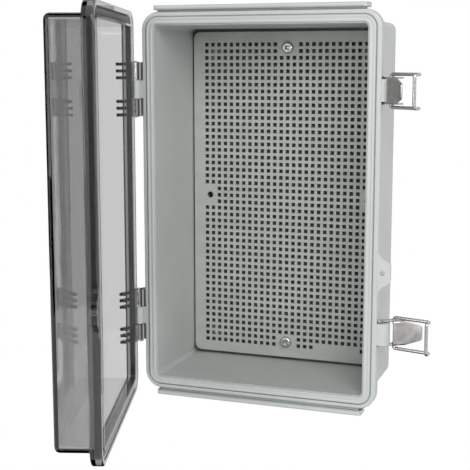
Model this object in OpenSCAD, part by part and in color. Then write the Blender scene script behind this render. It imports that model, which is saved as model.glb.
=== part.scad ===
// Waterproof junction box with a hinged clear lid, a perforated mounting plate and two wire draw latches.
// Millimetres. X runs to the right, Y to the back and Z up. The origin is the centre of the back face.
// The lid stands open on its left-hand hinges, and both latches hang loose.

/* [Enclosure] */
// Outer width of the rim
rim_w = 160; // [140:1:220]
// Outer height of the rim
rim_h = 252; // [246:1:320]
// Depth of the body from its back face to the front of the rim
body_d = 73; // [62:1:110]
// Thickness of the rim, front to back
rim_t = 7.5; // [6.5:0.1:9]
// Corner radius of the rim
rim_r = 11.5; // [11.3:0.1:16]
// Rounding of the rim's outer edges
rim_edge_r = 1.2; // [0.6:0.1:2]
// Distance from the rim's outer edge to the cavity
rim_margin = 8.7; // [8.6:0.1:8.9]
// Thickness of the side walls
wall = 3; // [2.8:0.1:3.4]
// Thickness of the back wall
back_wall = 3; // [2.5:0.1:4]
// Draft of each side wall over the depth
draft = 0.8; // [0.4:0.1:0.9]
// Rounding of the back edges
back_r = 4; // [3:0.1:4.2]

/* [Sealing ridge] */
// Distance from the rim's outer edge to the ridge
ridge_margin = 3.5; // [3.2:0.1:3.8]
// Width of the ridge
ridge_w = 4.6; // [4:0.1:4.8]
// Height of the ridge above the rim
ridge_h = 1.5; // [1:0.1:2]
// Rounding of the ridge's edges
ridge_edge_r = 1; // [0.5:0.1:1]
// Width of the hollow along the top of the ridge
hollow_w = 2; // [1:0.1:2.4]
// Depth of that hollow
hollow_d = 0.3; // [0.1:0.05:0.5]
// Width of the narrow groove at the outer foot of the ridge
foot_groove_w = 0.7; // [0.4:0.1:1]
// Depth of that groove
foot_groove_d = 0.6; // [0.3:0.1:1]

/* [Eaves] */
// Length of the eave above and below the rim
eave_l = 142; // [100:1:150]
// Thickness of an eave
eave_t = 3; // [2.4:0.1:4]
// Depth of an eave, front to back
eave_d = 14; // [11:0.5:18]
// How far an eave stands in front of the rim
eave_front = 2.6; // [1:0.1:4]
// Gap between an eave and the rim
eave_gap = 1; // [0.8:0.1:2]
// How far the neck under an eave stays short of each of its ends
neck_short = 2; // [1:0.1:4]
// Depth of the neck, front to back
neck_d = 6; // [4:0.1:7]

/* [Lid] */
// Angle of the open lid
lid_open = 72; // [0:1:175]
// Depth of the lid
lid_d = 28; // [20:0.5:60]
// Thickness of the lid's rim
lid_rim_t = 7; // [5.6:0.1:8]
// Gap between the two rims when the lid is closed
rim_gap = 0.4; // [0.3:0.05:0.6]
// Distance from the rim's outer edge to the tray
tray_inset = 7; // [6.8:0.1:7.2]
// Thickness of the tray's walls
tray_wall = 3; // [2.8:0.1:3.2]
// Thickness of the tray's face
tray_face = 2.8; // [2:0.1:4]
// Rounding of the tray's front edges
tray_edge_r = 3; // [1.5:0.1:3.6]

/* [Gasket] */
// Depth of the lid's gasket groove
groove_d = 4.4; // [4:0.1:4.6]
// Clearance between the ridge and the groove's walls
ridge_clear = 0.3; // [0.25:0.05:0.35]
// Clearance between the gasket and the groove's walls
gasket_clear = 0.15; // [0.05:0.05:0.3]
// Gap between the gasket and the ridge when the lid is closed
gasket_gap = 0.3; // [0.2:0.05:0.5]

/* [Hinges] */
// Distance of each hinge's middle from the rim's end
hinge_inset = 50; // [34:0.5:64]
// Distance of the hinge axis outside the rim
hinge_out = 4.5; // [4.3:0.1:6]
// Diameter of a knuckle
knuckle_d = 7; // [6:0.1:7.2]
// Length of a knuckle
knuckle_l = 11.6; // [11.4:0.1:16]
// Gap between neighbouring knuckles
knuckle_gap = 0.4; // [0.3:0.05:0.8]
// Diameter of the hinge pin
hinge_pin_d = 3; // [2:0.1:4]
// Radial clearance of the pins in their bores
pin_fit = 0.05; // [0.02:0.01:0.1]
// Thickness of the ribs that brace a lid knuckle
rib_t = 2; // [1.2:0.1:2.2]
// Distance between neighbouring ribs
rib_pitch = 4.4; // [4:0.1:4.6]
// Height of the ribs above the lid's rim
rib_rise = 4.4; // [3:0.1:8]
// How far the pad that backs a hinge stands out from the rim
hinge_pad_out = 4; // [2:0.1:4.2]

/* [Latches] */
// Distance of each latch's middle from the rim's end
latch_inset = 49.5; // [34:0.5:58]
// Distance of the lever's pivot behind the front of the rim
pivot_back = 6; // [5:0.1:6.6]
// Diameter of the lug's rounded nose
lug_d = 10.6; // [8:0.1:11]
// Distance of the nose's centre outside the rim
lug_out = 2; // [1:0.1:2.2]
// Height of the lug
lug_h = 13.8; // [10:0.1:18]
// Height of the pad behind the lug
pad_h = 20; // [14:0.5:26]
// How far the pad stands out from the side wall
pad_out = 2.6; // [1.5:0.1:2.8]
// Length of the pad, front to back
pad_l = 15; // [8:0.5:24]
// Diameter of the lever's pivot pin
latch_pin_d = 2.5; // [2:0.1:3]
// Clearance between the lever's ears and the lug or the slots
ear_clear = 0.35; // [0.3:0.05:0.5]
// Sheet thickness of the lever
sheet = 1; // [0.8:0.1:1.2]
// Radius of the ear round the pivot
ear_r = 3; // [2.5:0.1:3.2]
// Height of the ears inside the pivot's line
ear_in = 2; // [1.5:0.1:2.2]
// Distance from the pivot's line to the lever's outer face
lever_drop = 4; // [3.8:0.1:5]
// Distance from the pivot to the start of the lever's web
web_start = 8.5; // [8.2:0.1:9.5]
// Distance from the pivot to the end of the ears
ear_l = 17.3; // [14:0.1:22]
// Length of the finger tip beyond the ears
tip_l = 11; // [6:0.1:12]
// Width of the finger tip at its end
tip_w = 8.5; // [5:0.1:12]
// Outward bend of the finger tip
tip_bend = 20; // [5:1:30]
// Outer radius of the lever's bends
bend_r = 1.5; // [1.2:0.1:2]
// Diameter of the two round dimples in the lever
dimple_d = 2.4; // [1.5:0.1:3]
// Depth of the dimples
dimple_depth = 0.3; // [0.1:0.05:0.4]
// Distance of the bail's pivot along the lever
bail_at = 9.8; // [9.8:0.1:11]
// Distance of the bail's pivot from the line of the lever's pivot
bail_drop = 1.6; // [1.4:0.1:1.6]
// Diameter of the bail's wire
wire_d = 2.2; // [1.8:0.1:2.2]
// Length of straight wire between a lever's ear and the bail's bend
bail_side = 0.05; // [0.05:0.05:3]
// Length of the bail's hook
hook_l = 5; // [5:0.1:6]
// Bend radius of the wire's centre line
wire_bend = 1.7; // [1.5:0.1:2.4]
// Gap between the hooked bail and the lid's rim
bail_gap = 0.3; // [0.25:0.05:0.5]
// Angle of the upper lever, from straight out towards the back
upper_lever_angle = -40; // [-42:1:90]
// Angle of the lower lever
lower_lever_angle = 35; // [-42:1:90]
// Angle of the upper bail
upper_bail_angle = -34; // [-40:1:30]
// Angle of the lower bail
lower_bail_angle = -14; // [-40:1:30]
// Height of the catch on the lid's rim
catch_h = 14.6; // [10:0.1:16]
// Width of the catch
catch_w = 1.3; // [0.8:0.1:1.4]
// Rise of the catch above the lid's rim
catch_rise = 1.2; // [0.6:0.1:1.6]

/* [Seal tabs] */
// Height of the tabs' middle
tab_z = -36.6; // [-50:0.1:50]
// How far a tab stands out from the rim
tab_out = 8; // [6:0.1:12]
// Height of a tab at its foot
tab_base_h = 22; // [18:0.5:30]
// Height of a tab at its tip
tab_tip_h = 12; // [9:0.5:16]
// Thickness of a tab
tab_t = 3; // [2:0.1:5]
// Rounding of a tab's outer corners
tab_tip_r = 4; // [2:0.1:6]
// Rounding of a tab's inner corners
tab_foot_r = 6; // [3:0.1:10]
// Diameter of the seal hole
seal_hole_d = 3.4; // [2:0.1:5]
// Distance of the seal hole outside the rim
seal_hole_out = 3; // [2.8:0.1:4]

/* [Mounting plate] */
// Distance between neighbouring holes
pitch = 4.6; // [4:0.1:4.7]
// Side of a square hole
hole = 2.65; // [1.5:0.05:3.2]
// Least distance from the plate's edge to the holes
hole_margin = 7; // [5:0.1:12]
// Gap between the plate and the side walls
plate_side_gap = 1; // [0.5:0.1:6]
// Gap between the plate and the end walls
plate_end_gap = 2; // [0.5:0.1:6]
// Thickness of the plate
plate_t = 2; // [1.5:0.1:4]
// Corner radius of the plate
plate_r = 4.5; // [3:0.1:8]
// Height of the bosses under the plate
standoff = 3; // [2.6:0.1:8]
// Diameter of the bosses
boss_d = 9; // [8:0.1:12]
// Diameter of the plate's round holes
plate_hole_d = 4.5; // [4.2:0.1:5]
// Columns of the blank strip in the bottom row, counted from the right
blank_columns = [3, 9];

/* [Fasteners] */
// Diameter of a plate screw
screw_d = 3.9; // [3:0.1:3.9]
// Length of a plate screw under its head
screw_l = 5.6; // [4:0.1:6]
// Diameter of a screw's head
head_d = 8; // [6:0.1:9]
// Height of a screw's head
head_h = 2.4; // [1.6:0.1:3]
// Width of the cross recess
cross_w = 1; // [0.6:0.1:1.4]
// Length of the cross recess
cross_l = 4.4; // [3:0.1:5]
// Depth of the cross recess
cross_depth = 1.4; // [0.8:0.1:1.5]
// Outer diameter of a threaded insert
insert_d = 5.6; // [5:0.1:6.4]
// Bore of a threaded insert
insert_bore = 4; // [4:0.1:4.4]
// Length of a threaded insert
insert_l = 4.5; // [3:0.1:5]
// Radial clearance of an insert in its hole
insert_fit = 0.03; // [0.02:0.01:0.1]
// Width of the wall fixing pattern
wall_fix_w = 110; // [80:1:120]
// Height of the wall fixing pattern
wall_fix_h = 200; // [160:1:210]
// Gap between the wall fixing bosses and the plate
fix_boss_gap = 0.3; // [0.2:0.05:0.6]

/* [Hidden] */
$fn = 64;
// Overlap that joins features of one piece, and the overshoot of cuts
join = 0.5;
body_colour = "#c3c9ca";
smoke_colour = [0.35, 0.37, 0.39, 0.45];
rubber_colour = "#1e1f21";
plate_colour = "#8f918d";
steel_colour = "#b9b4ae";
brass_colour = "#b59a52";

// Planes of the body and of the closed lid
rim_x = rim_w / 2;
rim_z = rim_h / 2;
rim_y = -body_d;
lid_y = rim_y - rim_gap;
ledge_y = lid_y - lid_rim_t;
floor_y = -back_wall;
boss_y = floor_y - standoff;
plate_y = boss_y - plate_t;
// Reach of the swept wall sections inside the rim's outer edge
core = rim_r - join;
// Gasket groove and the section between its inner wall and the tray
groove_out = ridge_margin - ridge_clear;
groove_in = ridge_margin + ridge_w + ridge_clear;
tray_in = tray_inset + tray_wall;
gasket_y = ridge_h - rim_gap + gasket_gap;
// Hinge axis
hinge_x = -rim_x - hinge_out;
hinge_y = (rim_y + lid_y) / 2;
hinge_z = rim_z - hinge_inset;
knuckle_step = knuckle_l + knuckle_gap;
hinge_l = 2 * knuckle_step + knuckle_l;
// Lever pivot, lever width and the bail that reaches the lid's rim from the closed lever
pivot_x = rim_x;
pivot_y = rim_y + pivot_back;
latch_z = rim_z - latch_inset;
ear_z = lug_h / 2 + ear_clear;
lever_w = 2 * (ear_z + sheet);
bail_w = lever_w + 2 * (bail_side + wire_bend);
bail_l = pivot_y + bail_at - (ledge_y - bail_gap - wire_d / 2);
side_x = rim_x - rim_margin + wall;
// The catch on the lid's rim, just outside the cross bar of the hooked bail
catch_x = pivot_x + bail_drop - hook_l + wire_d / 2 + bail_gap;
// The plate inside the drafted walls, and the holes that it has room for
plate_w = rim_w - 2 * (rim_margin + draft + plate_side_gap);
plate_h = rim_h - 2 * (rim_margin + draft + plate_end_gap);
columns = 2 * floor(((plate_w - hole) / 2 - hole_margin) / pitch) + 1;
rows = 2 * floor(((plate_h - hole) / 2 - hole_margin) / pitch) + 1;
// Round holes of the plate, on the lines half way between the first two rows or columns
screw_z = (rows - 2) / 2 * pitch;
side_hole_x = (columns - 2) / 2 * pitch;

function is_blank(row, column) =
    abs(column - (columns - 1) / 2) <= 1 && min(row, rows - 1 - row) <= 1
    || abs(row - (rows - 1) / 2) <= 1 && min(column, columns - 1 - column) <= 1
    || row == rows - 1 && column >= columns - blank_columns[1] && column <= columns - blank_columns[0];

// A rounded rectangle about the origin
module rounded_rect(w, h, r) {
    square([w - 2 * r, h], center = true);
    square([w, h - 2 * r], center = true);
    for (x = [-1, 1], y = [-1, 1])
        translate([x * (w / 2 - r), y * (h / 2 - r)])
            circle(r);
}

// A flat shape drawn in X and Z, set upright with its thickness running forward from y
module upright(y, t) {
    translate([0, y, 0])
        rotate([90, 0, 0])
            linear_extrude(t)
                children();
}

// A section swept round the rim's outline, where x is outward from the rim's edge and y is forward
module sweep_rim(y) {
    translate([0, y, 0])
        rotate([90, 0, 0])
            for (side = [0 : 3]) {
                along = side % 2 == 0 ? rim_h : rim_w;
                across = side % 2 == 0 ? rim_w : rim_h;
                rotate(side * 90) {
                    translate([across / 2, along / 2 - rim_r, 0])
                        rotate([90, 0, 0])
                            linear_extrude(along - 2 * rim_r)
                                children();
                    translate([across / 2 - rim_r, along / 2 - rim_r, 0])
                        rotate_extrude(angle = 90)
                            translate([rim_r, 0])
                                children();
                }
            }
}

// What is left outside a quarter circle in its corner, to round the corner that points along +x and +y
module corner_cut(r) {
    difference() {
        square(r + join);
        circle(r);
    }
}

// Section of a rim with its outer corners rounded, from y0 to y1
module rim_section(inset, y0, y1) {
    difference() {
        translate([-inset, y0])
            square([inset, y1 - y0]);
        translate([-rim_edge_r, y1 - rim_edge_r])
            corner_cut(rim_edge_r);
        translate([-rim_edge_r, y0 + rim_edge_r])
            mirror([0, 1])
                corner_cut(rim_edge_r);
    }
}

// Section of the raised ridge with its rounded edges and the hollow along its top
module ridge_section() {
    hollow_r = (pow(hollow_w / 2, 2) + pow(hollow_d, 2)) / (2 * hollow_d);
    translate([-ridge_margin - ridge_w / 2, 0])
        difference() {
            translate([-ridge_w / 2, -join])
                square([ridge_w, ridge_h + join]);
            for (side = [0, 1])
                mirror([side, 0])
                    translate([ridge_w / 2 - ridge_edge_r, ridge_h - ridge_edge_r])
                        corner_cut(ridge_edge_r);
            translate([0, ridge_h + hollow_r - hollow_d])
                circle(hollow_r);
        }
}

// Section of the body's wall: drafted side, rounded back edge, rim and ridge
module body_section() {
    back_x = -rim_margin - draft + wall;
    inner_y = back_wall - body_d;
    difference() {
        polygon([
            [-rim_margin, 0],
            [-rim_margin - draft, inner_y],
            [-core, inner_y],
            [-core, -body_d],
            [back_x, -body_d],
            [back_x, back_r - body_d],
            [-rim_margin + wall, -rim_t],
            [-rim_margin + wall, 0]
        ]);
        translate([back_x - back_r, back_r - body_d])
            mirror([0, 1])
                corner_cut(back_r);
    }
    difference() {
        rim_section(rim_margin, -rim_t, 0);
        translate([-ridge_margin, -foot_groove_d])
            square([foot_groove_w, foot_groove_d + join]);
    }
    ridge_section();
}

// Section of the lid's wall: rim with its gasket groove, and the tray with its rounded front edge
module lid_section() {
    difference() {
        rim_section(tray_in, 0, lid_rim_t);
        translate([-groove_in, -join])
            square([groove_in - groove_out, groove_d + join]);
    }
    difference() {
        polygon([
            [-tray_in, groove_d],
            [-tray_in, lid_d - tray_face],
            [-core, lid_d - tray_face],
            [-core, lid_d],
            [-tray_inset, lid_d],
            [-tray_inset, groove_d]
        ]);
        translate([-tray_inset - tray_edge_r, lid_d - tray_edge_r])
            corner_cut(tray_edge_r);
    }
}

// A flat panel that closes a swept wall, from y forward by t
module panel(y, t) {
    shrink = core - join / 2;
    upright(y, t)
        square([rim_w - 2 * shrink, rim_h - 2 * shrink], center = true);
}

// Outline of a seal tab, with x outward from the rim's edge and rounded corners inside and out
module tab_outline() {
    base = tab_base_h / 2;
    tip = tab_tip_h / 2;
    slant = atan2(base - tip, tab_out);
    edge = [-cos(slant), sin(slant)];
    tip_tangent = tab_tip_r * tan((90 - slant) / 2);
    tip_centre = [tab_out - tab_tip_r, tip - tip_tangent];
    foot_tangent = tab_foot_r * tan((90 - slant) / 2);
    for (side = [0, 1])
        mirror([0, side]) {
            polygon([
                [-join, 0],
                [tab_out, 0],
                [tab_out, tip_centre[1]],
                [tab_out, tip] + tip_tangent * edge,
                [0, base],
                [-join, base]
            ]);
            translate(tip_centre)
                circle(tab_tip_r);
            difference() {
                polygon([
                    [-join, base],
                    [0, base] - foot_tangent * edge,
                    [0, base + foot_tangent],
                    [-join, base + foot_tangent]
                ]);
                translate([tab_foot_r, base + foot_tangent])
                    circle(tab_foot_r);
            }
        }
}

// A seal tab on the right of a rim, from y forward
module seal_tab(y) {
    difference() {
        upright(y, tab_t)
            translate([rim_x, tab_z])
                tab_outline();
        upright(y + join, tab_t + 2 * join)
            translate([rim_x + seal_hole_out, tab_z])
                circle(d = seal_hole_d);
    }
}

// An eave bar with a rounded front edge and its neck on the rim
module eave() {
    front = rim_y - eave_front;
    under = rim_z + eave_gap;
    translate([0, front + eave_d / 2, 0])
        intersection() {
            translate([0, 0, under])
                linear_extrude(eave_t)
                    rounded_rect(eave_l, eave_d, eave_t);
            translate([-eave_l / 2, 0, under + eave_t / 2])
                rotate([90, 0, 90])
                    linear_extrude(eave_l)
                        rounded_rect(eave_d, eave_t, eave_t / 2 - join / 10);
        }
    translate([neck_short - eave_l / 2, rim_y + rim_edge_r, rim_z - join])
        cube([eave_l - 2 * neck_short, neck_d - rim_edge_r, eave_gap + 2 * join]);
}

// A hinge knuckle from z upward, with a web to the rim on its back or front half from web_y
module knuckle(z, web_y) {
    translate([hinge_x, hinge_y, z])
        cylinder(d = knuckle_d, h = knuckle_l);
    translate([hinge_x, web_y, z])
        cube([hinge_out + rim_edge_r, (knuckle_d - rim_gap) / 2, knuckle_l]);
}

// A pad on the rim's side that backs the lid's knuckles and carries the body's own
module hinge_pad(z) {
    pad_y = hinge_y + knuckle_d / 2 + knuckle_gap;
    front_y = rim_y + rim_edge_r;
    back_y = rim_y + rim_t - rim_edge_r;
    translate([-rim_x - hinge_pad_out, pad_y, z - hinge_l / 2])
        cube([hinge_pad_out + rim_edge_r, back_y - pad_y, hinge_l]);
    translate([-rim_x - hinge_pad_out, front_y, z - knuckle_l / 2])
        cube([hinge_pad_out + rim_edge_r, back_y - front_y, knuckle_l]);
}

// The bore of a hinge, right through its three knuckles
module hinge_bore(z) {
    translate([hinge_x, hinge_y, z - hinge_l / 2 - join])
        cylinder(d = hinge_pin_d + 2 * pin_fit, h = hinge_l + 2 * join);
}

// Boss on the inside of the back wall, standing forward to y
module boss(x, z, y) {
    translate([x, floor_y + join, z])
        rotate([90, 0, 0])
            cylinder(d = boss_d, h = floor_y + join - y);
}

// Blind hole for a threaded insert, running back from y
module insert_hole(x, z, y) {
    translate([x, y + insert_l, z])
        rotate([90, 0, 0])
            cylinder(d = insert_d + 2 * insert_fit, h = insert_l + join);
}

// Latch lug with its rounded nose, and the pad behind it
module latch_lug(z) {
    translate([pivot_x + lug_out, pivot_y, z - lug_h / 2])
        cylinder(d = lug_d, h = lug_h);
    translate([side_x - wall / 2, pivot_y - lug_d / 2, z - lug_h / 2])
        cube([pivot_x + lug_out - side_x + wall / 2, lug_d, lug_h]);
    translate([side_x - wall / 2, rim_y + rim_t - join, z - pad_h / 2])
        cube([pad_out + wall / 2, pad_l + join, pad_h]);
}

// Slots beside a lug in which the lever's ears turn, and the bore of the pivot pin
module latch_cuts(z) {
    for (side = [-1, 1])
        translate([pivot_x, pivot_y, z + side * (ear_z + sheet / 2) - sheet / 2 - ear_clear])
            cylinder(r = ear_r + 2 * ear_clear, h = sheet + 2 * ear_clear);
    translate([pivot_x, pivot_y, z - lug_h / 2 - join])
        cylinder(d = latch_pin_d + 2 * pin_fit, h = lug_h + 2 * join);
}

module enclosure_body() {
    color(body_colour)
        difference() {
            union() {
                sweep_rim(rim_y)
                    body_section();
                panel(0, back_wall);
                for (side = [0, 1])
                    mirror([0, 0, side])
                        eave();
                for (z = [-hinge_z, hinge_z]) {
                    knuckle(z - knuckle_l / 2, rim_y);
                    hinge_pad(z);
                }
                for (z = [-latch_z, latch_z])
                    latch_lug(z);
                seal_tab(rim_y + tab_t);
                for (z = [-screw_z, screw_z])
                    boss(0, z, boss_y);
                for (x = [-side_hole_x, side_hole_x])
                    boss(x, 0, boss_y);
                for (x = [-wall_fix_w / 2, wall_fix_w / 2], z = [-wall_fix_h / 2, wall_fix_h / 2])
                    boss(x, z, boss_y + fix_boss_gap);
            }
            for (z = [-hinge_z, hinge_z])
                hinge_bore(z);
            for (z = [-latch_z, latch_z])
                latch_cuts(z);
            for (z = [-screw_z, screw_z])
                insert_hole(0, z, boss_y);
            for (x = [-side_hole_x, side_hole_x])
                insert_hole(x, 0, boss_y);
            for (x = [-wall_fix_w / 2, wall_fix_w / 2], z = [-wall_fix_h / 2, wall_fix_h / 2])
                mirror([0, 1, 0])
                    insert_hole(x, z, 0);
        }
}

// Puts a piece of the closed lid where the open lid has it
module on_open_lid() {
    translate([hinge_x, hinge_y, 0])
        rotate(-lid_open)
            translate([-hinge_x, -hinge_y, 0])
                children();
}

// Rib that braces a lid knuckle against the tray's wall, in the plane across the hinge
module knuckle_rib(z) {
    translate([0, 0, z - rib_t / 2])
        linear_extrude(rib_t)
            polygon([
                [hinge_x, lid_y],
                [hinge_x, hinge_y - knuckle_d / 2],
                [-rim_x + tray_inset + join, ledge_y - rib_rise],
                [-rim_x + tray_inset + join, ledge_y + join],
                [-rim_x + rim_edge_r, ledge_y + join],
                [-rim_x + rim_edge_r, lid_y]
            ]);
}

module lid() {
    color(smoke_colour)
        on_open_lid()
            difference() {
                union() {
                    sweep_rim(lid_y)
                        lid_section();
                    panel(lid_y - lid_d + tray_face, tray_face);
                    for (hinge = [-hinge_z, hinge_z], side = [-1, 1]) {
                        middle = hinge + side * knuckle_step;
                        knuckle(middle - knuckle_l / 2, hinge_y - knuckle_d / 2);
                        for (step = [-1 : 1])
                            knuckle_rib(middle + step * rib_pitch);
                    }
                    for (z = [-latch_z, latch_z])
                        translate([catch_x, ledge_y - catch_rise, z - catch_h / 2])
                            cube([catch_w, catch_rise + join, catch_h]);
                    seal_tab(lid_y);
                }
                for (z = [-hinge_z, hinge_z])
                    hinge_bore(z);
            }
}

module lid_gasket() {
    color(rubber_colour)
        on_open_lid()
            sweep_rim(lid_y)
                translate([gasket_clear - groove_in, gasket_y])
                    square([groove_in - groove_out - 2 * gasket_clear, groove_d - gasket_y]);
}

module hinge_pin(z) {
    color(steel_colour)
        translate([hinge_x, hinge_y, z - hinge_l / 2])
            cylinder(d = hinge_pin_d, h = hinge_l);
}

module upper_hinge_pin() {
    hinge_pin(hinge_z);
}

module lower_hinge_pin() {
    hinge_pin(-hinge_z);
}

// The plate is one flat shape: rounded outline, field of square holes and four round holes
module mounting_plate() {
    color(plate_colour)
        upright(boss_y, plate_t)
            difference() {
                rounded_rect(plate_w, plate_h, plate_r);
                for (row = [0 : rows - 1], column = [0 : columns - 1])
                    if (!is_blank(row, column))
                        translate([(column - (columns - 1) / 2) * pitch, ((rows - 1) / 2 - row) * pitch])
                            square(hole, center = true);
                for (place = [[0, screw_z], [0, -screw_z], [side_hole_x, 0], [-side_hole_x, 0]])
                    translate(place)
                        circle(d = plate_hole_d);
            }
}

// A pan-head screw on the plate, with a domed edge and a cross recess
module plate_screw(z) {
    dome_r = head_h / 2;
    color(steel_colour)
        translate([0, plate_y, z])
            rotate([90, 0, 0])
                difference() {
                    union() {
                        rotate_extrude() {
                            square([head_d / 2, head_h - dome_r]);
                            square([head_d / 2 - dome_r, head_h]);
                            translate([head_d / 2 - dome_r, head_h - dome_r])
                                intersection() {
                                    circle(dome_r);
                                    square(dome_r);
                                }
                        }
                        translate([0, 0, -screw_l])
                            cylinder(d = screw_d, h = screw_l + join);
                    }
                    for (turn = [0, 90])
                        rotate(turn)
                            translate([-cross_l / 2, -cross_w / 2, head_h - cross_depth])
                                cube([cross_l, cross_w, cross_depth + join]);
                }
}

module upper_plate_screw() {
    plate_screw(screw_z);
}

module lower_plate_screw() {
    plate_screw(-screw_z);
}

// A threaded brass insert that runs back from y
module threaded_insert(x, z, y) {
    color(brass_colour)
        translate([x, y + insert_l, z])
            rotate([90, 0, 0])
                difference() {
                    cylinder(d = insert_d, h = insert_l);
                    translate([0, 0, -join])
                        cylinder(d = insert_bore, h = insert_l + 2 * join);
                }
}

module top_plate_insert() {
    threaded_insert(0, screw_z, boss_y);
}

module bottom_plate_insert() {
    threaded_insert(0, -screw_z, boss_y);
}

module left_plate_insert() {
    threaded_insert(-side_hole_x, 0, boss_y);
}

module right_plate_insert() {
    threaded_insert(side_hole_x, 0, boss_y);
}

// The wall inserts open at the back face
module wall_insert(x_side, z_side) {
    threaded_insert(x_side * wall_fix_w / 2, z_side * wall_fix_h / 2, -insert_l);
}

module upper_left_wall_insert() {
    wall_insert(-1, 1);
}

module upper_right_wall_insert() {
    wall_insert(1, 1);
}

module lower_left_wall_insert() {
    wall_insert(-1, -1);
}

module lower_right_wall_insert() {
    wall_insert(1, -1);
}

module latch_pin(z) {
    color(steel_colour)
        translate([pivot_x, pivot_y, z - lever_w / 2])
            cylinder(d = latch_pin_d, h = lever_w);
}

module upper_latch_pin() {
    latch_pin(latch_z);
}

module lower_latch_pin() {
    latch_pin(-latch_z);
}

// Side view of a lever's ear, with x along the lever and the outer face towards -y
module ear_outline() {
    neck = 0.75 * ear_r;
    foot = bend_r - lever_drop;
    circle(ear_r);
    polygon([
        [0, neck],
        [web_start, ear_in],
        [ear_l, ear_in],
        [ear_l, foot],
        [web_start, foot],
        [0, -neck]
    ]);
}

// A hole along z, right through a lever
module lever_hole(x, y, d) {
    translate([x, y, -lever_w / 2 - join])
        cylinder(d = d + 2 * pin_fit, h = lever_w + 2 * join);
}

// Cross section of a lever's web and its two bends, across the lever
module web_section() {
    inner_r = bend_r - sheet;
    difference() {
        translate([-lever_w / 2, -lever_drop])
            square([lever_w, bend_r]);
        translate([-lever_w / 2 + sheet, -lever_drop + sheet])
            square([lever_w - 2 * sheet, bend_r]);
        for (side = [0, 1])
            mirror([side, 0])
                translate([lever_w / 2 - bend_r, bend_r - lever_drop])
                    mirror([0, 1])
                        corner_cut(bend_r);
    }
    for (side = [0, 1])
        mirror([side, 0])
            translate([lever_w / 2 - bend_r, bend_r - lever_drop])
                mirror([0, 1])
                    difference() {
                        square(inner_r);
                        circle(inner_r);
                    }
}

// A stamped channel lever with two ears, a web and a bent finger tip
module latch_lever(z, angle) {
    color(steel_colour)
        translate([pivot_x, pivot_y, z])
            rotate(angle)
                difference() {
                    union() {
                        for (side = [-1, 1])
                            translate([0, 0, side * (ear_z + sheet / 2) - sheet / 2])
                                linear_extrude(sheet)
                                    ear_outline();
                        translate([web_start, 0, 0])
                            rotate([0, 90, 0])
                                linear_extrude(ear_l - web_start)
                                    web_section();
                        translate([ear_l - join, sheet - lever_drop, 0])
                            rotate(-tip_bend)
                                rotate([90, 0, 0])
                                    linear_extrude(sheet)
                                        polygon([
                                            [0, join / 2 + bend_r - lever_w / 2],
                                            [tip_l, -tip_w / 2],
                                            [tip_l, tip_w / 2],
                                            [0, lever_w / 2 - bend_r - join / 2]
                                        ]);
                    }
                    for (side = [-1, 1])
                        translate([ear_l - dimple_d, dimple_depth - lever_drop, side * lever_w / 4])
                            rotate([90, 0, 0])
                                cylinder(d = dimple_d, h = dimple_depth + join);
                    lever_hole(0, 0, latch_pin_d);
                    lever_hole(bail_at, -bail_drop, wire_d);
                }
}

module upper_latch_lever() {
    latch_lever(latch_z, upper_lever_angle);
}

module lower_latch_lever() {
    latch_lever(-latch_z, lower_lever_angle);
}

// A straight piece of the bail's wire along z
module wire(length) {
    cylinder(d = wire_d, h = length);
}

// A quarter bend of the bail's wire in the plane of x and y
module wire_elbow() {
    rotate_extrude(angle = 90)
        translate([wire_bend, 0])
            circle(d = wire_d);
}

// Half of a bail: the end in the lever's ear, an arm along x, the hook towards -y and half of the cross bar
module half_bail() {
    arm_z = bail_w / 2;
    stub_z = ear_z - sheet;
    translate([0, 0, stub_z])
        wire(arm_z - wire_bend - stub_z);
    translate([wire_bend, 0, arm_z - wire_bend])
        rotate([90, 0, 0])
            rotate(90)
                wire_elbow();
    translate([wire_bend, 0, arm_z])
        rotate([0, 90, 0])
            wire(bail_l - 2 * wire_bend);
    translate([bail_l - wire_bend, -wire_bend, arm_z])
        wire_elbow();
    translate([bail_l, -wire_bend, arm_z])
        rotate([90, 0, 0])
            wire(hook_l - 2 * wire_bend);
    translate([bail_l, wire_bend - hook_l, arm_z - wire_bend])
        rotate([90, 0, 90])
            rotate(90)
                wire_elbow();
    translate([bail_l, -hook_l, 0])
        wire(arm_z - wire_bend);
}

// A bail in the ears of a lever that stands at lever_angle
module latch_bail(z, lever_angle, angle) {
    color(steel_colour)
        translate([pivot_x, pivot_y, z])
            rotate(lever_angle)
                translate([bail_at, -bail_drop, 0])
                    rotate(angle - lever_angle)
                        for (side = [0, 1])
                            mirror([0, 0, side])
                                half_bail();
}

module upper_latch_bail() {
    latch_bail(latch_z, upper_lever_angle, upper_bail_angle);
}

module lower_latch_bail() {
    latch_bail(-latch_z, lower_lever_angle, lower_bail_angle);
}

enclosure_body();
mounting_plate();
upper_plate_screw();
lower_plate_screw();
top_plate_insert();
bottom_plate_insert();
left_plate_insert();
right_plate_insert();
upper_left_wall_insert();
upper_right_wall_insert();
lower_left_wall_insert();
lower_right_wall_insert();
upper_hinge_pin();
lower_hinge_pin();
upper_latch_pin();
lower_latch_pin();
lid();
lid_gasket();
upper_latch_lever();
lower_latch_lever();
upper_latch_bail();
lower_latch_bail();
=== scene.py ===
import math

import bmesh
import bpy
from mathutils import Matrix, Vector


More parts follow.
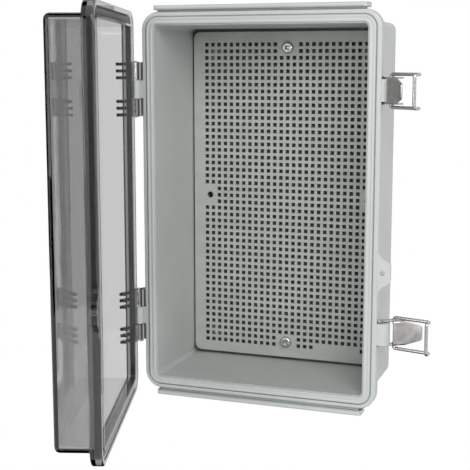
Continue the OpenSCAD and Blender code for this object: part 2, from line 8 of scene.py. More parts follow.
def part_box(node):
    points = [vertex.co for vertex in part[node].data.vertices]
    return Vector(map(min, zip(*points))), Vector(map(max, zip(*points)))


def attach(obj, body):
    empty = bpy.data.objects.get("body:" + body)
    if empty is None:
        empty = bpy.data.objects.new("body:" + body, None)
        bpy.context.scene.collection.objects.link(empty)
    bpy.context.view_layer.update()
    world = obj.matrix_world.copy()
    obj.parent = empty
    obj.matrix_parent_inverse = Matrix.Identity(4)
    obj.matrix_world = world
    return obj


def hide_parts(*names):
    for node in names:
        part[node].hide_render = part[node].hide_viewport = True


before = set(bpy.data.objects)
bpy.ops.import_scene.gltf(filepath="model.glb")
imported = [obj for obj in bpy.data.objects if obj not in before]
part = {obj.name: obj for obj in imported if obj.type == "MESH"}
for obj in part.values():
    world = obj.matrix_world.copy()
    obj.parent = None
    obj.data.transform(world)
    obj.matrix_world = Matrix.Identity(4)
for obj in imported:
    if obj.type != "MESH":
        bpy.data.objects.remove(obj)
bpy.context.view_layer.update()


# Enclosure body. A deep box with a sealing rim, moulded in one shot from light grey ABS, with the hinge
# knuckles, latch lugs and seal tab on its rim. The solid has its moulded radii, so it keeps its shape.

MOULD_FLOW, MOULD_SKIN, SHADE_REACH = 0.045, 0.0007, 0.012


def linear(colour):
    """An sRGB hex colour as the linear colour that the shaders work in."""
    values = [int(colour[i:i + 2], 16) / 255 for i in (1, 3, 5)]
    return [v / 12.92 if v <= 0.04045 else ((v + 0.055) / 1.055) ** 2.4 for v in values] + [1.0]


def add(tree, kind, inputs=None, stops=(), **settings):
    """Adds a node to a material, with its settings and a ramp's stops, and sets or links its inputs."""
    made = tree.nodes.new(kind)
    for name, value in settings.items():
        setattr(made, name, value)
    for i, (position, colour) in enumerate(stops):
        made.color_ramp.elements[i].position = position
        made.color_ramp.elements[i].color = linear(colour)
    for socket, value in (inputs or {}).items():
        if isinstance(value, bpy.types.NodeSocket):
            tree.links.new(value, made.inputs[socket])
        else:
            made.inputs[socket].default_value = value
    return made


def empty_material(name):
    """A new material and its node tree, with nothing in it yet."""
    material = bpy.data.materials.new(name)
    material.use_nodes = True
    material.node_tree.nodes.clear()
    return material, material.node_tree


def painted_shade(tree, colour):
    """Darkens a colour as painted shade where the surfaces around a point nearly shut it in."""
    shut = add(tree, "ShaderNodeAmbientOcclusion", {"Distance": SHADE_REACH}, samples=8)
    shade_fraction = add(tree, "ShaderNodeMapRange", {"Value": shut.outputs["AO"], "From Min": 0.08, "From Max": 0.5,
                                            "To Min": 0.12, "To Max": 1.0})
    darker = add(tree, "ShaderNodeVectorMath", {0: colour, 1: shade_fraction.outputs["Result"]}, operation="MULTIPLY")
    return darker.outputs[0]


# Moulded ABS: an opaque satin plastic. The tool's spark-eroded skin is about 0.1 mm fine, too fine to show
# here, so it is drawn 0.7 mm coarse. Slow shifts of tone, 45 mm wide, come from the flow in the mould.
# Painted shade darkens the colour in narrow spaces, such as the slot behind the plate, within 12 mm.
body_abs, tree = empty_material("abs_light_grey_moulded")
place = add(tree, "ShaderNodeTexCoord").outputs["Object"]
flow = add(tree, "ShaderNodeTexNoise", {"Vector": place, "Scale": 1 / MOULD_FLOW, "Detail": 3.0})
tone = add(tree, "ShaderNodeValToRGB", {"Fac": flow.outputs["Fac"]}, ((0.3, "#b8bdbb"), (0.7, "#c0c4c2")))
skin = add(tree, "ShaderNodeTexNoise", {"Vector": place, "Scale": 1 / MOULD_SKIN, "Detail": 2.0,
                                        "Roughness": 0.6})
gloss = add(tree, "ShaderNodeMapRange", {"Value": skin.outputs["Fac"], "From Min": 0.3, "From Max": 0.7,
                                         "To Min": 0.36, "To Max": 0.48})
grain = add(tree, "ShaderNodeBump", {"Height": skin.outputs["Fac"], "Strength": 0.12, "Distance": 0.0001})
shader = add(tree, "ShaderNodeBsdfPrincipled", {"Base Color": painted_shade(tree, tone.outputs["Color"]), "IOR": 1.54,
                                                "Roughness": gloss.outputs["Result"],
                                                "Normal": grain.outputs["Normal"]})
add(tree, "ShaderNodeOutputMaterial", {"Surface": shader.outputs["BSDF"]})
part["enclosure_body"].material_slots[0].material = body_abs


# Threaded inserts. Knurled bushes turned from brass bar with an M4 thread, pressed warm into bosses in the
# back: four behind the plate and four that open at the back face for wall brackets.

INSERT_R, INSERT_BORE_R, INSERT_L = 0.0028, 0.002, 0.0045
INSERT_EDGE, INSERT_MOUTH = 0.0002, 0.0003
INSERT_THREAD_DEPTH, INSERT_THREAD_STEPS = 0.00018, 10
GROOVE_FROM, GROOVE_TO, GROOVE_SLOPE, GROOVE_DEPTH = 0.0019, 0.0026, 0.0002, 0.0003
KNURL_SIDES, KNURL_DEPTH = 40, 0.00007
TARNISH_SPOT, TOOL_RING = 0.0025, 0.00157
NEAR = 0.0001
SMOOTH_BELOW = math.radians(35)
PLATE_INSERTS = ("top_plate_insert", "bottom_plate_insert", "left_plate_insert", "right_plate_insert")
WALL_INSERTS = ("upper_left_wall_insert", "upper_right_wall_insert",
                "lower_left_wall_insert", "lower_right_wall_insert")


def bare():
    """Leaves edit mode and selects nothing, so that the next operator acts on the next piece alone."""
    if bpy.context.object and bpy.context.object.mode == "EDIT":
        bpy.ops.object.mode_set(mode="OBJECT")
    bpy.ops.object.select_all(action="DESELECT")


def only(piece):
    """Selects one finished piece alone, for the operators that follow."""
    bare()
    piece.select_set(True)
    bpy.context.view_layer.objects.active = piece


def turned(name, sides, rings, closed):
    """A piece turned about its z axis from rings of radius and height. It is closed on itself, as a bush is,
    or capped at both ends."""
    bare()
    bpy.ops.mesh.primitive_circle_add(vertices=sides, radius=rings[0][0], location=(0, 0, rings[0][1]))
    piece = bpy.context.object
    piece.name = piece.data.name = name
    bpy.ops.object.transform_apply()
    bpy.ops.object.mode_set(mode="EDIT")
    bpy.ops.mesh.select_all(action="SELECT")
    if not closed:
        bpy.ops.mesh.edge_face_add()
        bpy.ops.mesh.select_all(action="SELECT")
    for (r0, z0), (r1, z1) in zip(rings, rings[1:]):
        bpy.ops.mesh.extrude_region_move(TRANSFORM_OT_translate={"value": (0, 0, z1 - z0)})
        bpy.ops.transform.resize(value=(r1 / r0, r1 / r0, 1), center_override=(0, 0, z1))
    bpy.ops.mesh.select_all(action="SELECT")
    bpy.ops.mesh.remove_doubles(threshold=1e-6)
    bpy.ops.mesh.normals_make_consistent(inside=False)
    bpy.ops.object.mode_set(mode="OBJECT")
    bpy.ops.object.shade_smooth_by_angle(angle=SMOOTH_BELOW)
    return piece


def middle(node):
    """The middle of a CAD node's box at rest, to a hundredth of a millimetre."""
    low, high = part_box(node)
    return Vector([round(value, 5) for value in (low + high) / 2])


def settle(piece, matrix):
    """Moves a piece's mesh to its place, with the object left at the origin."""
    piece.data.transform(matrix)
    piece.data.update()


def copy_of(piece, name):
    """A copy with a mesh of its own."""
    only(piece)
    bpy.ops.object.duplicate()
    made = bpy.context.object
    made.name = made.data.name = name
    return made


# Turned brass: a yellowish metal, dull with age in spots of 2.5 mm. The lathe tool leaves rings that are too
# fine to show, so they are drawn 1.6 mm apart. At a scale of 1 the wave texture repeats every pi / 10.
brass, tree = empty_material("brass_turned")
place = add(tree, "ShaderNodeTexCoord").outputs["Object"]
spots = add(tree, "ShaderNodeTexNoise", {"Vector": place, "Scale": 1 / TARNISH_SPOT, "Detail": 4.0})
tarnish = add(tree, "ShaderNodeValToRGB", {"Fac": spots.outputs["Fac"]}, ((0.0, "#6f6450"), (1.0, "#a39673")))
rings = add(tree, "ShaderNodeTexWave", {"Vector": place, "Scale": math.pi / 10 / TOOL_RING,
                                        "Distortion": 1.5}, bands_direction="Y")
lathe = add(tree, "ShaderNodeBump", {"Height": rings.outputs["Fac"], "Strength": 0.2, "Distance": 0.00005})
shader = add(tree, "ShaderNodeBsdfPrincipled", {"Base Color": tarnish.outputs["Color"], "Metallic": 1.0,
                                                "Roughness": 0.3, "Normal": lathe.outputs["Normal"]})
add(tree, "ShaderNodeOutputMaterial", {"Surface": shader.outputs["BSDF"]})

# The bush is one closed ring: along the bore over its thread crests and roots, and back over the outside,
# where a groove keeps it from pulling out. Every second point of the outside is pressed in for the knurl.
mouth_r, edge_r, groove_r = INSERT_BORE_R + INSERT_MOUTH, INSERT_R - INSERT_EDGE, INSERT_R - GROOVE_DEPTH
outline = [(mouth_r, 0.0)]
for step in range(INSERT_THREAD_STEPS + 1):
    along = step * (INSERT_L - 2 * INSERT_MOUTH) / INSERT_THREAD_STEPS
    outline.append((INSERT_BORE_R + (INSERT_THREAD_DEPTH if step % 2 else 0.0), INSERT_MOUTH + along))
outline += [(mouth_r, INSERT_L), (edge_r, INSERT_L), (INSERT_R, INSERT_L - INSERT_EDGE),
            (INSERT_R, GROOVE_TO + GROOVE_SLOPE), (groove_r, GROOVE_TO),
            (groove_r, GROOVE_FROM), (INSERT_R, GROOVE_FROM - GROOVE_SLOPE),
            (INSERT_R, INSERT_EDGE), (edge_r, 0.0), (mouth_r, 0.0)]
bush = turned("bush", KNURL_SIDES, outline, True)
for vertex in bush.data.vertices:
    side = round(math.atan2(vertex.co.y, vertex.co.x) * KNURL_SIDES / (2 * math.pi))
    if side % 2 and vertex.co.xy.length > INSERT_R - NEAR:
        vertex.co.xy *= 1 - KNURL_DEPTH / INSERT_R
bush.data.materials.append(brass)
for name in PLATE_INSERTS + WALL_INSERTS:
    insert = copy_of(bush, name + "_bush")
    facing = Matrix.Rotation(math.pi / 2 if name in WALL_INSERTS else -math.pi / 2, 4, "X")
    settle(insert, Matrix.Translation(middle(name)) @ facing @ Matrix.Translation((0, 0, -INSERT_L / 2)))
    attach(insert, "enclosure")
    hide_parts(name)
bpy.data.objects.remove(bush)


# Mounting plate. A 2 mm grey ABS sheet with a grid of square holes for self-tapping screws, lying on the four
# bosses. The square holes are cut in the solid, so the plate keeps its shape.

PLATE_FLOW = (0.03, 0.03, 0.009)

# Moulded ABS in a slightly darker and warmer grey. Its flow shows as faint bands across the plate, 30 mm long
# and 9 mm high, and it has the same fine skin as the box, drawn at 0.7 mm. As on the box, painted shade
# darkens the colour in narrow spaces within 12 mm, such as its holes.
plate_abs, tree = empty_material("abs_mid_grey_moulded")
place = add(tree, "ShaderNodeTexCoord").outputs["Object"]
across = add(tree, "ShaderNodeMapping", {"Vector": place, "Scale": [1 / size for size in PLATE_FLOW]})
flow = add(tree, "ShaderNodeTexNoise", {"Vector": across.outputs["Vector"], "Scale": 1.0, "Detail": 4.0})
tone = add(tree, "ShaderNodeValToRGB", {"Fac": flow.outputs["Fac"]}, ((0.3, "#aaaea9"), (0.7, "#b5b8b3")))
skin = add(tree, "ShaderNodeTexNoise", {"Vector": place, "Scale": 1 / MOULD_SKIN, "Detail": 2.0,
                                        "Roughness": 0.6})
gloss = add(tree, "ShaderNodeMapRange", {"Value": skin.outputs["Fac"], "From Min": 0.3, "From Max": 0.7,
                                         "To Min": 0.38, "To Max": 0.52})
grain = add(tree, "ShaderNodeBump", {"Height": skin.outputs["Fac"], "Strength": 0.15, "Distance": 0.0001})
shader = add(tree, "ShaderNodeBsdfPrincipled", {"Base Color": painted_shade(tree, tone.outputs["Color"]), "IOR": 1.54,
                                                "Roughness": gloss.outputs["Result"],
                                                "Normal": grain.outputs["Normal"]})
add(tree, "ShaderNodeOutputMaterial", {"Surface": shader.outputs["BSDF"]})
part["mounting_plate"].material_slots[0].material = plate_abs


# Plate screws. Two cold-headed pan-head screws with a cross recess, nickel plated, turned through the plate
# into the upper and lower inserts.

HEAD_R, HEAD_H, HEAD_SIDE, HEAD_EDGE = 0.004, 0.0024, 0.001, 0.0001
SHANK_R, SHANK_L, SHANK_NECK = 0.0019, 0.0056, 0.0003
POINT_R, LEAD_R, LEAD_L = 0.0011, 0.0017, 0.0006
SCREW_THREAD_FROM, SCREW_THREAD_STEP, SCREW_THREAD_STEPS, SCREW_THREAD_DEPTH = 0.0008, 0.00035, 12, 0.00025
RECESS_HALF_L, RECESS_HALF_W, RECESS_FLOOR, RECESS_TURN = 0.0023, 0.00055, 0.0009, math.radians(38)
PUNCH_TAPER_L, PUNCH_TAPER_W = 0.45, 0.6
SCREW_SIDES, SCREW_EDGE = 48, 0.00008
NICKEL_CLOUD = 0.0015


def block(name, low, high):
    """A box between two corners, as a start for a piece or a tool for a cut."""
    bare()
    bpy.ops.mesh.primitive_cube_add(size=1, location=[(a + b) / 2 for a, b in zip(low, high)],
                                    scale=[b - a for a, b in zip(low, high)])
    bpy.ops.object.transform_apply()
    bpy.context.object.name = bpy.context.object.data.name = name
    return bpy.context.object


def choose(kind, test):
    """Selects the vertices or edges of the piece in edit mode that pass a test."""
    bpy.ops.mesh.select_mode(type=kind)
    bpy.ops.mesh.select_all(action="DESELECT")
    work = bmesh.from_edit_mesh(bpy.context.edit_object.data)
    for element in work.verts if kind == "VERT" else work.edges:
        element.select_set(test(element))
    work.select_flush_mode()
    bmesh.update_edit_mesh(bpy.context.edit_object.data)


def apply_boolean(piece, tool, operation):
    """Joins a tool to a piece or cuts it out, and removes the tool."""
    only(piece)
    boolean = piece.modifiers.new("boolean", "BOOLEAN")
    boolean.operation, boolean.object, boolean.solver = operation, tool, "EXACT"
    bpy.ops.object.modifier_apply(modifier="boolean")
    bpy.data.objects.remove(tool)


def ease_edges(piece, width):
    """Breaks the sharp edges of a finished piece with a bevel modifier and shades it smooth."""
    only(piece)
    bevel = piece.modifiers.new("bevel", "BEVEL")
    bevel.width, bevel.segments = width, 2
    bevel.limit_method, bevel.angle_limit = "ANGLE", math.radians(40)
    bpy.ops.object.modifier_apply(modifier="bevel")
    bpy.ops.object.shade_smooth_by_angle(angle=SMOOTH_BELOW)


# Nickel plate: a bright, slightly warm metal with a soft cloud in its tone and gloss, about 1.5 mm across.
nickel, tree = empty_material("nickel_plated_steel")
place = add(tree, "ShaderNodeTexCoord").outputs["Object"]
cloud = add(tree, "ShaderNodeTexNoise", {"Vector": place, "Scale": 1 / NICKEL_CLOUD, "Detail": 3.0})
gloss = add(tree, "ShaderNodeMapRange", {"Value": cloud.outputs["Fac"], "To Min": 0.14, "To Max": 0.32})
tone = add(tree, "ShaderNodeValToRGB", {"Fac": cloud.outputs["Fac"]}, ((0.0, "#b3b1ae"), (1.0, "#d6d4d2")))
shader = add(tree, "ShaderNodeBsdfPrincipled", {"Base Color": tone.outputs["Color"], "Metallic": 1.0,
                                                "Roughness": gloss.outputs["Result"]})
add(tree, "ShaderNodeOutputMaterial", {"Surface": shader.outputs["BSDF"]})

# From the point up: a short lead, ridges for the thread, the underside of the head and its domed top. The
# underside of the head is at z = 0.
profile = [(POINT_R, -SHANK_L), (LEAD_R, LEAD_L - SHANK_L)]
for step in range(SCREW_THREAD_STEPS):
    ridge_r = SHANK_R if step % 2 else SHANK_R - SCREW_THREAD_DEPTH
    profile.append((ridge_r, SCREW_THREAD_FROM - SHANK_L + step * SCREW_THREAD_STEP))
profile += [(SHANK_R, -SHANK_NECK), (SHANK_R, 0.0), (HEAD_R - HEAD_EDGE, 0.0), (HEAD_R, HEAD_EDGE),
            (HEAD_R, HEAD_SIDE)]
dome = HEAD_H - HEAD_SIDE
for angle in (15, 30, 45, 60, 75, 90):
    up, inward = math.sin(math.radians(angle)), 1 - math.cos(math.radians(angle))
    profile.append((HEAD_R - dome * inward, HEAD_SIDE + dome * up))
screw = turned("screw", SCREW_SIDES, profile, False)
for turn in (0, math.pi / 2):
    # Each bar of the cross narrows towards its bottom, as the punch that pressed it does.
    bar = block("bar", (-RECESS_HALF_L, -RECESS_HALF_W, RECESS_FLOOR),
                (RECESS_HALF_L, RECESS_HALF_W, HEAD_H + HEAD_SIDE / 2))
    bpy.ops.object.mode_set(mode="EDIT")
    choose("VERT", lambda v: v.co.z < RECESS_FLOOR + NEAR)
    bpy.ops.transform.resize(value=(PUNCH_TAPER_L, PUNCH_TAPER_W, 1), center_override=(0, 0, RECESS_FLOOR))
    bpy.ops.object.mode_set(mode="OBJECT")
    settle(bar, Matrix.Rotation(turn + RECESS_TURN, 4, "Z"))
    apply_boolean(screw, bar, "DIFFERENCE")
ease_edges(screw, SCREW_EDGE)
screw.data.materials.append(nickel)
plate_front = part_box("mounting_plate")[0].y
for name in ("upper_plate_screw", "lower_plate_screw"):
    fixed = copy_of(screw, name + "_turned_in")
    seat = Vector((middle(name).x, plate_front, middle(name).z))
    settle(fixed, Matrix.Translation(seat) @ Matrix.Rotation(math.pi / 2, 4, "X"))
    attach(fixed, "enclosure")
    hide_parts(name)
bpy.data.objects.remove(screw)


# Hinge pins. Straight stainless pins pushed through the three knuckles of each hinge, with rounded ends that
# stand a little proud.

HINGE_PIN_R, HINGE_PIN_HALF, HINGE_PIN_DOME = 0.0015, 0.0178, 0.0008
PIN_SIDES = 32
WIRE_CLOUD = 0.0012

# Drawn stainless steel: a bright, neutral grey metal. The die's marks are too fine to show, so they are drawn
# as small shifts of tone and gloss, 1.2 mm across.
drawn_steel, tree = empty_material("stainless_steel_drawn")
place = add(tree, "ShaderNodeTexCoord").outputs["Object"]
marks = add(tree, "ShaderNodeTexNoise", {"Vector": place, "Scale": 1 / WIRE_CLOUD, "Detail": 5.0,
                                         "Roughness": 0.65})
tone = add(tree, "ShaderNodeValToRGB", {"Fac": marks.outputs["Fac"]}, ((0.3, "#a2a2a1"), (0.7, "#c9c9c8")))
gloss = add(tree, "ShaderNodeMapRange", {"Value": marks.outputs["Fac"], "To Min": 0.12, "To Max": 0.26})
shader = add(tree, "ShaderNodeBsdfPrincipled", {"Base Color": tone.outputs["Color"], "Metallic": 1.0,
                                                "Roughness": gloss.outputs["Result"]})
add(tree, "ShaderNodeOutputMaterial", {"Surface": shader.outputs["BSDF"]})


def round_ended(name, radius, half, dome):
    """A pin along z with a domed end at each side of its middle."""
    ends = []
    for angle in (0, 20, 40, 60, 78):
        up = math.radians(angle)
        ends.append((radius * math.cos(up), half + dome * math.sin(up)))
    return turned(name, PIN_SIDES, [(r, -z) for r, z in reversed(ends)] + ends, False)


for name in ("upper_hinge_pin", "lower_hinge_pin"):
    pin = round_ended(name + "_round_ended", HINGE_PIN_R, HINGE_PIN_HALF, HINGE_PIN_DOME)
    settle(pin, Matrix.Translation(middle(name)))
    pin.data.materials.append(drawn_steel)
    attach(pin, "enclosure")
    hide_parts(name)


# Lid. A clear tray with a thick rim, moulded from smoke-tinted polycarbonate, with ribbed knuckles on the
# left and a catch for each latch. Its solid is one clear piece, so it keeps its shape.

LID_WAVE = 0.025

# Moulded polycarbonate: polished, with the plastic's own IOR, and tinted through its thickness so that 3 mm
# lets about two thirds of the light through and edges look darker. Its surface waves slightly over 25 mm.
smoke_pc, tree = empty_material("polycarbonate_smoke_clear")
place = add(tree, "ShaderNodeTexCoord").outputs["Object"]
wave = add(tree, "ShaderNodeTexNoise", {"Vector": place, "Scale": 1 / LID_WAVE, "Detail": 2.0})
ripple = add(tree, "ShaderNodeBump", {"Height": wave.outputs["Fac"], "Strength": 0.1, "Distance": 0.0005})
shader = add(tree, "ShaderNodeBsdfPrincipled", {"Base Color": linear("#f5f5f5"), "IOR": 1.585,
                                                "Roughness": 0.02, "Transmission Weight": 1.0,
                                                "Normal": ripple.outputs["Normal"]})
tint = add(tree, "ShaderNodeVolumeAbsorption", {"Color": linear("#9a9a9a"), "Density": 210.0})
add(tree, "ShaderNodeOutputMaterial", {"Surface": shader.outputs["BSDF"], "Volume": tint.outputs["Volume"]})
part["lid"].material_slots[0].material = smoke_pc


# Lid gasket. A black foamed-rubber cord of D section, laid in the groove of the lid's rim with its ends
# butted together. The ridge on the box presses into its round side.

LID_OPEN = math.radians(-72)
RIM_HALF_W, RIM_HALF_H, RIM_CORNER_R = 0.08, 0.126, 0.0115
GASKET_IN, GASKET_W, GASKET_BACK, GASKET_FRONT = 0.0058, 0.0049, -0.0778, -0.0748
GASKET_ROUND, GASKET_EDGE = 0.0012, 0.0003
RUBBER_PORE, RUBBER_BLOOM = 0.0008, 0.012

# Rubber: nearly black, with a slight sheen, pores about 0.8 mm across and a greyish bloom in 12 mm patches.
rubber, tree = empty_material("epdm_rubber_black")
place = add(tree, "ShaderNodeTexCoord").outputs["Object"]
pores = add(tree, "ShaderNodeTexVoronoi", {"Vector": place, "Scale": 1 / RUBBER_PORE})
bloom = add(tree, "ShaderNodeTexNoise", {"Vector": place, "Scale": 1 / RUBBER_BLOOM, "Detail": 4.0})
tone = add(tree, "ShaderNodeValToRGB", {"Fac": bloom.outputs["Fac"]}, ((0.0, "#17181a"), (1.0, "#2c2e30")))
pitted = add(tree, "ShaderNodeBump", {"Height": pores.outputs["Distance"], "Strength": 0.3,
                                      "Distance": 0.0002})
shader = add(tree, "ShaderNodeBsdfPrincipled", {"Base Color": tone.outputs["Color"], "IOR": 1.5,
                                                "Roughness": 0.4, "Normal": pitted.outputs["Normal"]})
add(tree, "ShaderNodeOutputMaterial", {"Surface": shader.outputs["BSDF"]})

# The section stands in the x and y plane at the lower right corner, and is drawn out along each side and
# turned round each corner of the closed lid. The whole cord then swings open with the lid.
corner_x, corner_z = RIM_HALF_W - RIM_CORNER_R, RIM_HALF_H - RIM_CORNER_R
bare()
bpy.ops.mesh.primitive_plane_add(
    size=1, location=(RIM_HALF_W - GASKET_IN, (GASKET_BACK + GASKET_FRONT) / 2, -corner_z))
gasket = bpy.context.object
gasket.name = gasket.data.name = "lid_gasket_cord"
gasket.scale = (GASKET_W, GASKET_FRONT - GASKET_BACK, 1)
bpy.ops.object.transform_apply()
bpy.ops.object.mode_set(mode="EDIT")
choose("VERT", lambda v: v.co.y > GASKET_FRONT - NEAR)
bpy.ops.mesh.bevel(offset=GASKET_ROUND, segments=5, affect="VERTICES")
choose("VERT", lambda v: v.co.y < GASKET_BACK + NEAR)
bpy.ops.mesh.bevel(offset=GASKET_EDGE, segments=2, affect="VERTICES")
bpy.ops.mesh.select_mode(type="EDGE")
bpy.ops.mesh.select_all(action="SELECT")
bpy.ops.mesh.delete(type="ONLY_FACE")
bpy.ops.mesh.select_all(action="SELECT")
for run, corner in (((0, 0, 2 * corner_z), (corner_x, 0, corner_z)),
                    ((-2 * corner_x, 0, 0), (-corner_x, 0, corner_z)),
                    ((0, 0, -2 * corner_z), (-corner_x, 0, -corner_z)),
                    ((2 * corner_x, 0, 0), (corner_x, 0, -corner_z))):
    bpy.ops.mesh.extrude_region_move(TRANSFORM_OT_translate={"value": run})
    bpy.ops.mesh.spin(steps=10, angle=math.pi / 2, axis=(0, 1, 0), center=corner)
bpy.ops.mesh.select_all(action="SELECT")
bpy.ops.mesh.remove_doubles(threshold=1e-5)
bpy.ops.mesh.normals_make_consistent(inside=False)
bpy.ops.object.mode_set(mode="OBJECT")
bpy.ops.object.shade_smooth_by_angle(angle=SMOOTH_BELOW)
hinge = middle("upper_hinge_pin")
settle(gasket, Matrix.Translation(hinge) @ Matrix.Rotation(LID_OPEN, 4, "Z") @ Matrix.Translation(-hinge))
gasket.data.materials.append(rubber)
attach(gasket, "lid")
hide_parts("lid_gasket")


# Latch pins. Rivets of drawn stainless steel that pass through a lever's ears and the lug between them, and
# carry the lever on the box. Their ends are set into low domes.

LATCH_PIN_R, LATCH_PIN_DOME, LEVER_HALF = 0.00125, 0.0005, 0.00825

for name in ("upper_latch_pin", "lower_latch_pin"):
    pin = round_ended(name + "_rivet", LATCH_PIN_R, LEVER_HALF, LATCH_PIN_DOME)
    settle(pin, Matrix.Translation(middle(name)))
    pin.data.materials.append(drawn_steel)
    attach(pin, "enclosure")
    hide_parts(name)


# Latch levers. Channels pressed from 1 mm stainless sheet, with two ears on the pivot, two dimples that
# stiffen the web and a bent finger tip. Their cut edges are tumbled round.

SHEET, BEND_R, LEVER_EDGE = 0.001, 0.0015, 0.00018
WEB_FROM, WEB_TO, WEB_OUT, FLANGE_IN = 0.0085, 0.0173, 0.004, 0.002
EAR_R, EAR_NECK = 0.003, 0.0045
TIP_L, TIP_ROOT_HALF, TIP_END_HALF, TIP_CORNER_R, TIP_BEND = 0.011, 0.008, 0.0045, 0.0015, math.radians(-20)
DIMPLE_X, DIMPLE_R, DIMPLE_DEPTH = 0.0149, 0.0025, 0.00018
BAIL_X, BAIL_Y, WIRE_R, HOLE_SLACK = 0.0098, -0.0016, 0.0011, 0.00005
LAP = 0.0005
PEEL, SHEET_CLOUD = 0.0005, 0.004

# Tumbled stainless sheet: a grey metal with a fine orange-peel skin, drawn 0.5 mm coarse so that it shows,
# and a soft cloud in its tone and gloss, 4 mm across.
sheet_steel, tree = empty_material("stainless_steel_tumbled")
place = add(tree, "ShaderNodeTexCoord").outputs["Object"]
peel = add(tree, "ShaderNodeTexNoise", {"Vector": place, "Scale": 1 / PEEL, "Detail": 3.0})
cloud = add(tree, "ShaderNodeTexNoise", {"Vector": place, "Scale": 1 / SHEET_CLOUD, "Detail": 4.0})
tone = add(tree, "ShaderNodeValToRGB", {"Fac": cloud.outputs["Fac"]}, ((0.25, "#a09e9c"), (0.75, "#b9b7b5")))
gloss = add(tree, "ShaderNodeMapRange", {"Value": cloud.outputs["Fac"], "To Min": 0.24, "To Max": 0.42})
skin = add(tree, "ShaderNodeBump", {"Height": peel.outputs["Fac"], "Strength": 0.15, "Distance": 0.0001})
shader = add(tree, "ShaderNodeBsdfPrincipled", {"Base Color": tone.outputs["Color"], "Metallic": 1.0,
                                                "Roughness": gloss.outputs["Result"],
                                                "Normal": skin.outputs["Normal"]})
add(tree, "ShaderNodeOutputMaterial", {"Surface": shader.outputs["BSDF"]})


def round_long_edges(y, radius, segments):
    """Rounds the edges along x that lie at a y on the piece made last, as a bend in the sheet."""
    bpy.ops.object.mode_set(mode="EDIT")
    choose("EDGE", lambda e: all(abs(v.co.y - y) < NEAR for v in e.verts)
           and abs(e.verts[0].co.x - e.verts[1].co.x) > NEAR)
    bpy.ops.mesh.bevel(offset=radius, segments=segments, affect="EDGES")


# The channel is a block with its two outer edges rounded, hollowed by a smaller block. The lever's pivot is
# at the origin, its length runs along x, and the cuts and joints lap by half a millimetre.
lever = block("lever", (WEB_FROM, -WEB_OUT, -LEVER_HALF), (WEB_TO, FLANGE_IN, LEVER_HALF))
round_long_edges(-WEB_OUT, BEND_R, 6)
hollow = block("hollow", (WEB_FROM - LAP, SHEET - WEB_OUT, SHEET - LEVER_HALF),
               (WEB_TO + LAP, FLANGE_IN + LAP, LEVER_HALF - SHEET))
round_long_edges(SHEET - WEB_OUT, BEND_R - SHEET, 4)
apply_boolean(lever, hollow, "DIFFERENCE")
for side in (-1, 1):
    # An ear is a strip that runs to a round end on the pivot.
    low, high = sorted((side * (LEVER_HALF - SHEET), side * LEVER_HALF))
    arm = block("arm", (0, FLANGE_IN - EAR_NECK, low), (WEB_FROM + LAP, FLANGE_IN, high))
    bpy.ops.object.mode_set(mode="EDIT")
    choose("VERT", lambda v: v.co.x < NEAR)
    bpy.ops.transform.translate(value=(0, EAR_NECK / 2 - FLANGE_IN, 0))
    apply_boolean(lever, arm, "UNION")
    bare()
    bpy.ops.mesh.primitive_cylinder_add(vertices=48, radius=EAR_R, depth=SHEET,
                                        location=(0, 0, (low + high) / 2))
    bpy.ops.object.transform_apply()
    apply_boolean(lever, bpy.context.object, "UNION")
# The finger tip narrows to its end, has its corners rounded and bends outwards.
tip = block("tip", (0, -SHEET, -TIP_ROOT_HALF), (TIP_L, 0, TIP_ROOT_HALF))
bpy.ops.object.mode_set(mode="EDIT")
choose("VERT", lambda v: v.co.x > TIP_L - NEAR)
bpy.ops.transform.resize(value=(1, 1, TIP_END_HALF / TIP_ROOT_HALF), center_override=(0, 0, 0))
choose("EDGE", lambda e: all(v.co.x > TIP_L - NEAR for v in e.verts)
       and abs(e.verts[0].co.y - e.verts[1].co.y) > NEAR)
bpy.ops.mesh.bevel(offset=TIP_CORNER_R, segments=5, affect="EDGES")
bpy.ops.object.mode_set(mode="OBJECT")
settle(tip, Matrix.Translation((WEB_TO - LAP, SHEET - WEB_OUT, 0)) @ Matrix.Rotation(TIP_BEND, 4, "Z"))
apply_boolean(lever, tip, "UNION")
for side in (-1, 1):
    bare()
    bpy.ops.mesh.primitive_uv_sphere_add(
        segments=32, ring_count=16, radius=DIMPLE_R,
        location=(DIMPLE_X, DIMPLE_DEPTH - DIMPLE_R - WEB_OUT, side * LEVER_HALF / 2))
    bpy.ops.object.transform_apply()
    apply_boolean(lever, bpy.context.object, "DIFFERENCE")
# Holes for the pivot rivet and for the ends of the bail.
for x, y, radius in ((0, 0, LATCH_PIN_R), (BAIL_X, BAIL_Y, WIRE_R)):
    bare()
    bpy.ops.mesh.primitive_cylinder_add(vertices=40, radius=radius + HOLE_SLACK, depth=4 * LEVER_HALF,
                                        location=(x, y, 0))
    bpy.ops.object.transform_apply()
    apply_boolean(lever, bpy.context.object, "DIFFERENCE")
ease_edges(lever, LEVER_EDGE)
lever.data.materials.append(sheet_steel)
for name, body, pivot, swing in (("upper_latch_lever", "upper_lever", "upper_latch_pin", -40),
                                 ("lower_latch_lever", "lower_lever", "lower_latch_pin", 35)):
    pressed = copy_of(lever, name + "_pressed")
    settle(pressed, Matrix.Translation(middle(pivot)) @ Matrix.Rotation(math.radians(swing), 4, "Z"))
    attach(pressed, body)
    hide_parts(name)
bpy.data.objects.remove(lever)


# Latch bails. Loops of 2.2 mm stainless wire, bent on a forming machine, with their ends sprung into the
# lever's ears and a hook that draws the lid shut. The solids have the bends, so they keep their shape.

for name in ("upper_latch_bail", "lower_latch_bail"):
    part[name].material_slots[0].material = drawn_steel


# Studio. The box hangs above a plain pale floor in soft light from the front right, with a weaker light from
# the front left and a white surround, and the camera stands where the photograph's did.

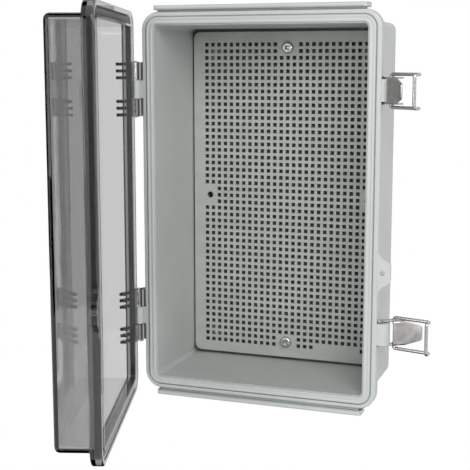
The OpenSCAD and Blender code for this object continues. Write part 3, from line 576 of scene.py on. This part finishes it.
FLOOR_Z, FLOOR_SIZE = -0.42, 8
CARDS = (("card_left", (-1.9, 0.7, 0.1), 4.2, 2.4),
         ("card_front", (-0.2, -1.9, 0.0), 1.6, 1.8),
         ("card_above", (0, 0, 1.7), 3.0, 0.9),
         ("card_below", (0, 0, -0.4), 0.7, 0.7))
LAMPS = (("key", (0.7, -1.25, 0.6), (0, -0.05, 0), 0.9, 13),
         ("fill", (-0.5, -1.3, 0.3), (0, 0, 0), 0.8, 4.5))
CAMERA_AT, CAMERA_LOOK = (0.2303, -0.7423, 0.0931), (-0.3399, 0.9278, -0.1535)
CAMERA_LENS, CAMERA_SENSOR = 84.8, 36


def seen(tree):
    """1 for a ray that comes from the camera, off a mirror or through something clear, and 0 for the rest."""
    ray = add(tree, "ShaderNodeLightPath").outputs
    direct = add(tree, "ShaderNodeMath", {0: ray["Is Camera Ray"], 1: ray["Is Glossy Ray"]},
                 operation="MAXIMUM")
    either = add(tree, "ShaderNodeMath", {0: direct.outputs[0], 1: ray["Is Transmission Ray"]},
                 operation="MAXIMUM")
    return either.outputs[0]


# Matt white paper, which looks as white as the surround wherever it is seen.
floor_white, tree = empty_material("floor_matt_white")
looked_at = seen(tree)
paper = add(tree, "ShaderNodeBsdfDiffuse", {"Color": linear("#f2f2f2")})
glow = add(tree, "ShaderNodeEmission", {"Color": linear("#ffffff"), "Strength": 1.0})
mixed = add(tree, "ShaderNodeMixShader", {0: looked_at, 1: paper.outputs["BSDF"],
                                          2: glow.outputs["Emission"]})
add(tree, "ShaderNodeOutputMaterial", {"Surface": mixed.outputs["Shader"]})
bare()
bpy.ops.mesh.primitive_plane_add(size=FLOOR_SIZE, location=(0, 0, FLOOR_Z))
floor = bpy.context.object
floor.name = "floor"
floor.data.materials.append(floor_white)

# Dark cards stand out of the picture, as they do round glass in a studio. Only mirrored rays meet them, so
# that they draw the dark lines in clear edges and in metal, and take no light from the box.
felt, tree = empty_material("card_black_felt")
shader = add(tree, "ShaderNodeBsdfDiffuse", {"Color": linear("#1c1c1c")})
add(tree, "ShaderNodeOutputMaterial", {"Surface": shader.outputs["BSDF"]})
for name, at, wide, high in CARDS:
    bare()
    bpy.ops.mesh.primitive_plane_add(size=1)
    card = bpy.context.object
    card.name = name
    card.scale = (wide, high, 1)
    card.rotation_euler = Vector(at).to_track_quat("Z", "Y").to_euler()
    card.location = at
    card.data.materials.append(felt)
    card.visible_camera = card.visible_diffuse = card.visible_transmission = card.visible_shadow = False

# The surround shows white and lights the box at half that strength.
world = bpy.data.worlds.new("studio")
bpy.context.scene.world = world
world.use_nodes = True
tree = world.node_tree
tree.nodes.clear()
strength = add(tree, "ShaderNodeMapRange", {"Value": seen(tree), "To Min": 0.5, "To Max": 1.0})
surround = add(tree, "ShaderNodeBackground", {"Color": linear("#ffffff"),
                                              "Strength": strength.outputs["Result"]})
add(tree, "ShaderNodeOutputWorld", {"Surface": surround.outputs["Background"]})

for name, at, aim, size, power in LAMPS:
    bare()
    bpy.ops.object.light_add(type="AREA", location=at)
    lamp = bpy.context.object
    lamp.name = name
    lamp.data.energy, lamp.data.size = power, size
    lamp.rotation_euler = (Vector(aim) - Vector(at)).to_track_quat("-Z", "Y").to_euler()

bare()
bpy.ops.object.camera_add(location=CAMERA_AT)
camera = bpy.context.object
camera.rotation_euler = Vector(CAMERA_LOOK).to_track_quat("-Z", "Y").to_euler()
camera.data.lens, camera.data.sensor_width = CAMERA_LENS, CAMERA_SENSOR
camera.data.clip_start, camera.data.clip_end = 0.01, 50
bpy.context.scene.camera = camera
bpy.context.scene.view_settings.view_transform = "Standard"
